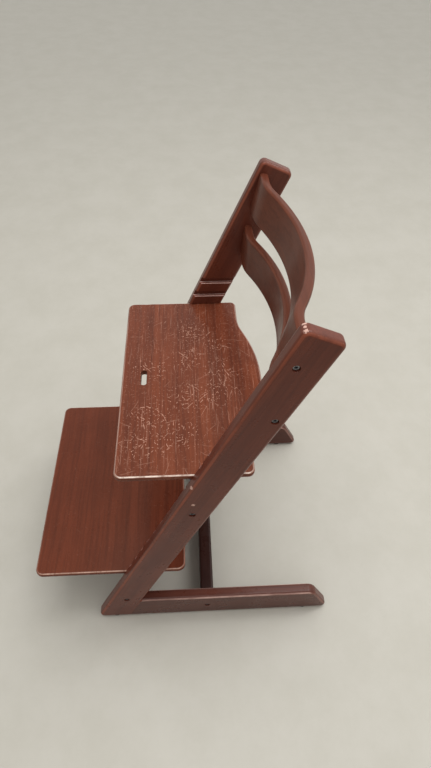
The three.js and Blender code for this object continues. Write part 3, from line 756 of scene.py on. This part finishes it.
def wood(name, grain_axis, face, base, light, dark, worn, edge_wear=0.5, scratches=0.0,
         scratch_places=(), general=0.05, highlight_and_rubbed_line=None, chips=(), grooves=False, roughness=0.3, coat=0.12,
         turn=0.0, sheen=PLAIN_SHEEN):
    """Stained and lacquered beech.

    grain_axis is the axis that the grain runs along, after the piece is turned about X by turn, and face is
    the axis across the board, whose rounded edges wear to the worn colour. The edge line colour is painted in
    a thin line along the start of that rounding: a painted highlight where light would catch the edge, partly
    also rubbed wear. chips are places (x, y, z, radius) without lacquer, and sheen is the tint that the stain
    gives to reflections."""
    g = Graph(name)
    place = g.add("TexCoord", output=3)
    normal = g.add("NewGeometry", output=1)
    local = g.add("Mapping", {"Vector": place, "Rotation": (turn, 0, 0)}, vector_type="POINT")
    order = {"X": (0, 1, 2), "Y": (1, 0, 2), "Z": (2, 0, 1)}[grain_axis]
    axes = g.parts(local)
    grain = g.add("CombineXYZ", {i: axes[order[i]] for i in range(3)})

    drift = g.noise(grain, 7.0, 2.0)
    sway = g.add("CombineXYZ", {1: g.times(drift, 0.012)})
    wavy = g.add("VectorMath", {0: grain, 1: sway}, operation="ADD")
    bands = g.noise(g.stretched(wavy, (1.3, 38, 38)), 1.0, 3.0, 0.55)
    fibres = g.noise(g.stretched(wavy, (9, 420, 420)), 1.0, 3.0, 0.6)
    pores = g.noise(g.stretched(wavy, (70, 900, 900)), 1.0, 2.0, 0.5)
    cloud = g.noise(grain, 9.0, 4.0, 0.6)

    streaks = g.noise(g.stretched(wavy, (5, 190, 190)), 1.0, 3.0, 0.6)
    tone = g.mix(g.remap(bands, 0.34, 0.68), dark, light)
    tone = g.mix(0.6, tone, base)
    tone = g.mix(g.remap(streaks, 0.46, 0.66, 0.0, 0.55), tone, dark)
    tone = g.mix(g.remap(fibres, 0.52, 0.70, 0.0, 0.45), tone, light)
    tone = g.mix(g.remap(cloud, 0.40, 0.68, 0.0, 0.3), tone, dark)
    fleck = g.remap(pores, 0.60, 0.70)
    tone = g.mix(g.times(fleck, 0.3), tone, [0.6 * value for value in dark[:3]] + [1.0])

    along_face = g.parts(normal)["XYZ".index(face)]
    facing = g.math("ABSOLUTE", along_face)
    rounding = g.times(g.remap(facing, 0.40, 0.68), g.remap(facing, 0.94, 0.76))
    patchy = g.noise(g.stretched(grain, (14, 60, 60)), 1.0, 5.0, 0.7)
    rubbed = g.times(rounding, g.remap(patchy, 0.36, 0.66, 0.35, 1.0))
    tone = g.mix(g.times(rubbed, edge_wear), tone, worn)
    # Painted highlight: a pale line along the start of each rounded edge, where light would catch it, partly
    # also rubbed wear.
    if highlight_and_rubbed_line:
        start = g.times(g.remap(facing, 0.55, 0.72), g.remap(facing, 0.985, 0.93))
        rearward = g.parts(normal)[1]
        if face == "Z":  # a plate's painted highlight line, partly rubbed wear, runs along its sides and is faint along its front or rear
            rearward = g.math("ABSOLUTE", rearward)
        start = g.times(start, g.remap(rearward, 0.35, 0.1, 0.25, 1.0))
        tone = g.mix(g.times(start, g.remap(patchy, 0.34, 0.60, 0.35, 1.0)), tone, highlight_and_rubbed_line)

    bare = 0.0
    if scratches:
        on_top = g.remap(along_face, 0.85, 0.97)
        bare = g.times(g.times(scratch_mask(g, local, grain, scratch_places, general), on_top), scratches)
    tone = g.mix(bare, tone, SCRATCHED)
    ragged = g.noise(place, 600.0, 4.0, 0.7)
    # Groove floors get worn colour plus painted reflection, and their lips and corners painted highlight
    # lines, partly also wear.
    if grooves:
        floors, lines = groove_mask(g, place, normal)
        tone = g.mix(g.times(floors, g.remap(ragged, 0.35, 0.6, 0.55, 1.0)), tone, GROOVE_FLOOR_WEAR_AND_SHEEN)
        tone = g.mix(g.times(lines, g.remap(ragged, 0.3, 0.55, 0.5, 1.0)), tone, GROOVE_LIP_HIGHLIGHT_AND_WEAR)
    if chips:
        chipped = g.remap(g.plus(g.times(spots(g, place, chips), 0.5), g.times(ragged, 1.5)), 1.02, 1.12)
        tone = g.mix(chipped, tone, CHIPPED)
        bare = g.math("MAXIMUM", bare, chipped)

    haze = g.noise(grain, 22.0, 5.0, 0.65)
    rough = g.plus(g.remap(haze, 0.3, 0.75, roughness - 0.05, roughness + 0.08), g.times(bare, 0.25))
    height = g.plus(g.times(fibres, 0.35), g.times(fleck, -0.6))
    height = g.plus(height, g.times(g.noise(grain, 160.0, 2.0), 0.5))
    height = g.plus(height, g.times(bare, -1.5))
    bump = g.add("Bump", {"Height": height, "Strength": 0.28, "Distance": 0.0002})
    shader = {
        "Base Color": tone,
        "Roughness": rough,
        "Normal": bump,
        "IOR": 1.45,
        "Specular IOR Level": 0.27,
        "Specular Tint": sheen,
        "Coat Weight": coat,
        "Coat Roughness": 0.14,
    }
    return g.finish(g.add("BsdfPrincipled", shader))


def metal(name, tint, roughness):
    """Zinc-plated steel with fine turning marks and a little tarnish."""
    g = Graph(name)
    place = g.add("TexCoord", output=3)
    turning = g.noise(g.stretched(place, (2600, 60, 60)), 1.0, 2.0)
    tarnish = g.noise(place, 240.0, 4.0, 0.6)
    tone = g.mix(g.remap(tarnish, 0.45, 0.75, 0.0, 0.6), tint, [0.45 * value for value in tint[:3]] + [1.0])
    rough = g.remap(turning, 0.3, 0.7, roughness - 0.08, roughness + 0.12)
    bump = g.add("Bump", {"Height": turning, "Strength": 0.2, "Distance": 0.0001})
    shader = {"Base Color": tone, "Metallic": 1.0, "Roughness": rough, "Normal": bump}
    return g.finish(g.add("BsdfPrincipled", shader))


def moulded(name, tint):
    """Dark nylon with a fine moulded grain and floor scuffs."""
    g = Graph(name)
    place = g.add("TexCoord", output=3)
    grain = g.noise(place, 1400.0, 2.0)
    scuff = g.noise(g.stretched(place, (90, 400, 90)), 1.0, 4.0, 0.7)
    tone = g.mix(g.remap(scuff, 0.55, 0.8, 0.0, 0.5), tint, colour(120, 114, 108))
    bump = g.add("Bump", {"Height": grain, "Strength": 0.25, "Distance": 0.0001})
    shader = {"Base Color": tone, "Roughness": g.remap(scuff, 0.4, 0.8, 0.45, 0.7), "Normal": bump}
    return g.finish(g.add("BsdfPrincipled", shader))


def bare_wood(name):
    """Unstained beech, for the dowels inside the joints."""
    g = Graph(name)
    place = g.add("TexCoord", output=3)
    fibres = g.noise(g.stretched(place, (60, 500, 500)), 1.0, 3.0)
    tone = g.mix(g.remap(fibres, 0.3, 0.7), colour(176, 136, 92), colour(214, 180, 134))
    bump = g.add("Bump", {"Height": fibres, "Strength": 0.2, "Distance": 0.0002})
    return g.finish(g.add("BsdfPrincipled", {"Base Color": tone, "Roughness": 0.7, "Normal": bump}))


SEAT_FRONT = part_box("seat_plate")[0].y
SEAT_WEAR = []
for x, from_front, radius in (
    # Round the slot
    (-0.02, 0.04, 0.035), (-0.015, 0.06, 0.035),
    # The middle and rear
    (-0.12, 0.13, 0.055), (-0.08, 0.17, 0.040), (-0.015, 0.175, 0.045), (0.03, 0.175, 0.045),
    (0.06, 0.16, 0.040), (-0.045, 0.115, 0.050), (0.055, 0.12, 0.055),
    # Towards the left
    (0.135, 0.105, 0.050), (0.155, 0.07, 0.040), (0.16, 0.04, 0.045), (0.10, 0.055, 0.055),
):
    SEAT_WEAR.append((x, SEAT_FRONT + from_front, radius))
CORNER_RIDGE = on_leg(LEG_LENGTH - 0.3 * LEG_CORNER, LEG_WIDTH - 0.3 * LEG_CORNER)
LEG_CHIPS = []
for across, radius in ((0.004, 0.0060), (0.011, 0.0040), (0.018, 0.0052)):
    LEG_CHIPS.append((INNER_X + across, *CORNER_RIDGE, radius))
LEG_CHIPS.append((OUTER_X - 0.003, *on_leg(0.495, LEG_WIDTH), 0.006))
ROD_BOLT = node_centre("rod_bolt_upper_left")
LEG_CHIPS.append((OUTER_X, ROD_BOLT.y + 0.002, ROD_BOLT.z + 0.031, 0.005))

# The edge line colours below are painted highlights along the rounded edges, partly also rubbed wear.
WOODS = {
    "leg": wood("stained_beech_leg", "Z", "X", colour(104, 52, 38), colour(117, 60, 43), colour(82, 40, 30),
                colour(150, 84, 58), edge_wear=0.35, highlight_and_rubbed_line=colour(136, 72, 52), chips=LEG_CHIPS,
                grooves=True, turn=math.pi / 2 - LEG_ANGLE),
    "runner": wood("stained_beech_runner", "Y", "X", colour(92, 51, 41), colour(102, 58, 46),
                   colour(72, 38, 32), colour(140, 84, 66), edge_wear=0.4, highlight_and_rubbed_line=colour(188, 154, 144)),
    "crossbar": wood("stained_beech_crossbar", "X", "Y", colour(46, 22, 17), colour(54, 26, 20),
                     colour(36, 17, 14), colour(70, 42, 34), edge_wear=0.3, coat=0.0),
    "seat": wood("stained_seat", "X", "Z", colour(112, 57, 39), colour(132, 68, 44), colour(80, 39, 29),
                 colour(176, 116, 88), edge_wear=0.5, scratches=0.85, scratch_places=SEAT_WEAR, general=0.22,
                 highlight_and_rubbed_line=colour(240, 222, 210), sheen=WARM_SHEEN),
    "footplate": wood("stained_footplate", "X", "Z", colour(104, 50, 34), colour(115, 56, 38),
                      colour(80, 38, 27), colour(156, 100, 80), edge_wear=0.5, scratches=0.4, general=0.05,
                      highlight_and_rubbed_line=colour(200, 166, 150), sheen=WARM_SHEEN),
    "slat": wood("stained_slat", "X", "Z", colour(95, 50, 36), colour(106, 56, 40), colour(76, 39, 29),
                 colour(150, 84, 58), edge_wear=0.2, roughness=0.36, coat=0.08, sheen=WARM_SHEEN),
}
STEEL = metal("zinc_plated_steel", colour(128, 128, 131), 0.36)
GLIDE = moulded("dark_nylon", colour(46, 42, 40))
DOWEL = bare_wood("bare_beech")


# ---------- The chair ----------
build_sides(WOODS)
build_crossbar(WOODS["crossbar"])
build_seat(WOODS["seat"])
build_footplate(WOODS["footplate"])
build_slats(WOODS["slat"])
build_rods(STEEL)
build_fasteners(STEEL)
build_nuts(STEEL)
build_glides(GLIDE)
for node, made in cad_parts.items():
    if made.hide_render:
        continue
    made.data.materials.clear()
    made.data.materials.append(DOWEL if "dowel" in node else STEEL)


# ---------- Floor, light and camera ----------
FLOOR_SIZE = 60.0
BRIGHT_SIDE = (-0.52, 0.42, 0.74)  # up, rearwards and away from the camera's side
CAMERA_PLACE = (0.7074, 0.0231, 1.1999)
CAMERA_LENS = 25.741


def build_floor():
    bm = bmesh.new()
    bmesh.ops.create_grid(bm, x_segments=2, y_segments=2, size=FLOOR_SIZE)
    floor = new_object("floor", bm)
    g = Graph("pale_floor")
    place = g.add("TexCoord", output=3)
    mottle = g.noise(place, 7.0, 8.0, 0.7)
    tone = g.mix(g.remap(mottle, 0.3, 0.7), colour(184, 181, 171), colour(190, 187, 178))
    shader = {"Base Color": tone, "Roughness": 0.55}
    floor.data.materials.append(g.finish(g.add("BsdfPrincipled", shader)))


def area_light(name, place, target, width, depth, watts, tint=(1, 1, 1)):
    data = bpy.data.lights.new(name, "AREA")
    data.shape = "RECTANGLE"
    data.size = width
    data.size_y = depth
    data.energy = watts
    data.color = tint
    light = bpy.data.objects.new(name, data)
    light.location = place
    light.rotation_euler = (Vector(target) - Vector(place)).to_track_quat("-Z", "Y").to_euler()
    bpy.context.scene.collection.objects.link(light)


def build_light():
    world = bpy.data.worlds.new("soft_room")
    world.use_nodes = True
    tree = world.node_tree
    place = tree.nodes.new("ShaderNodeTexCoord")
    towards = tree.nodes.new("ShaderNodeVectorMath")
    towards.operation = "DOT_PRODUCT"
    towards.inputs[1].default_value = BRIGHT_SIDE
    brightness = tree.nodes.new("ShaderNodeMapRange")
    brightness.inputs["From Min"].default_value = -0.7
    brightness.inputs["To Min"].default_value = 0.24
    brightness.inputs["To Max"].default_value = 0.98
    background = tree.nodes["Background"]
    background.inputs["Color"].default_value = (1.0, 0.985, 0.95, 1.0)
    tree.links.new(place.outputs["Generated"], towards.inputs[0])
    tree.links.new(towards.outputs["Value"], brightness.inputs["Value"])
    tree.links.new(brightness.outputs["Result"], background.inputs["Strength"])
    bpy.context.scene.world = world
    area_light("ceiling", (0.1, 0.7, 2.9), (0, 0, 0), 3.0, 3.4, 32, (1.0, 0.98, 0.95))
    area_light("roof_light", (-0.2, 0.5, 2.8), (0, 0, 0.2), 0.35, 3.0, 22)


def build_camera():
    """The viewing angle: from the chair's left side, looking steeply down."""
    yaw, pitch, roll = math.radians(-3.363), math.radians(45.94), math.radians(0.686)
    ahead = Vector((-math.cos(yaw) * math.cos(pitch), -math.sin(yaw) * math.cos(pitch), -math.sin(pitch)))
    right = ahead.cross(Vector((0, 0, 1))).normalized()
    up = right.cross(ahead)
    rolled_right = math.cos(roll) * right + math.sin(roll) * up
    rolled_up = math.cos(roll) * up - math.sin(roll) * right
    turn = Matrix((rolled_right, rolled_up, -ahead)).transposed().to_4x4()
    data = bpy.data.cameras.new("camera")
    data.sensor_fit = "VERTICAL"
    data.sensor_height = 36.0
    data.lens = CAMERA_LENS
    camera = bpy.data.objects.new("camera", data)
    camera.matrix_world = Matrix.Translation(CAMERA_PLACE) @ turn
    bpy.context.scene.collection.objects.link(camera)
    bpy.context.scene.camera = camera


build_floor()
build_light()
build_camera()
bpy.context.scene.view_settings.view_transform = "Standard"

bpy.context.view_layer.update()
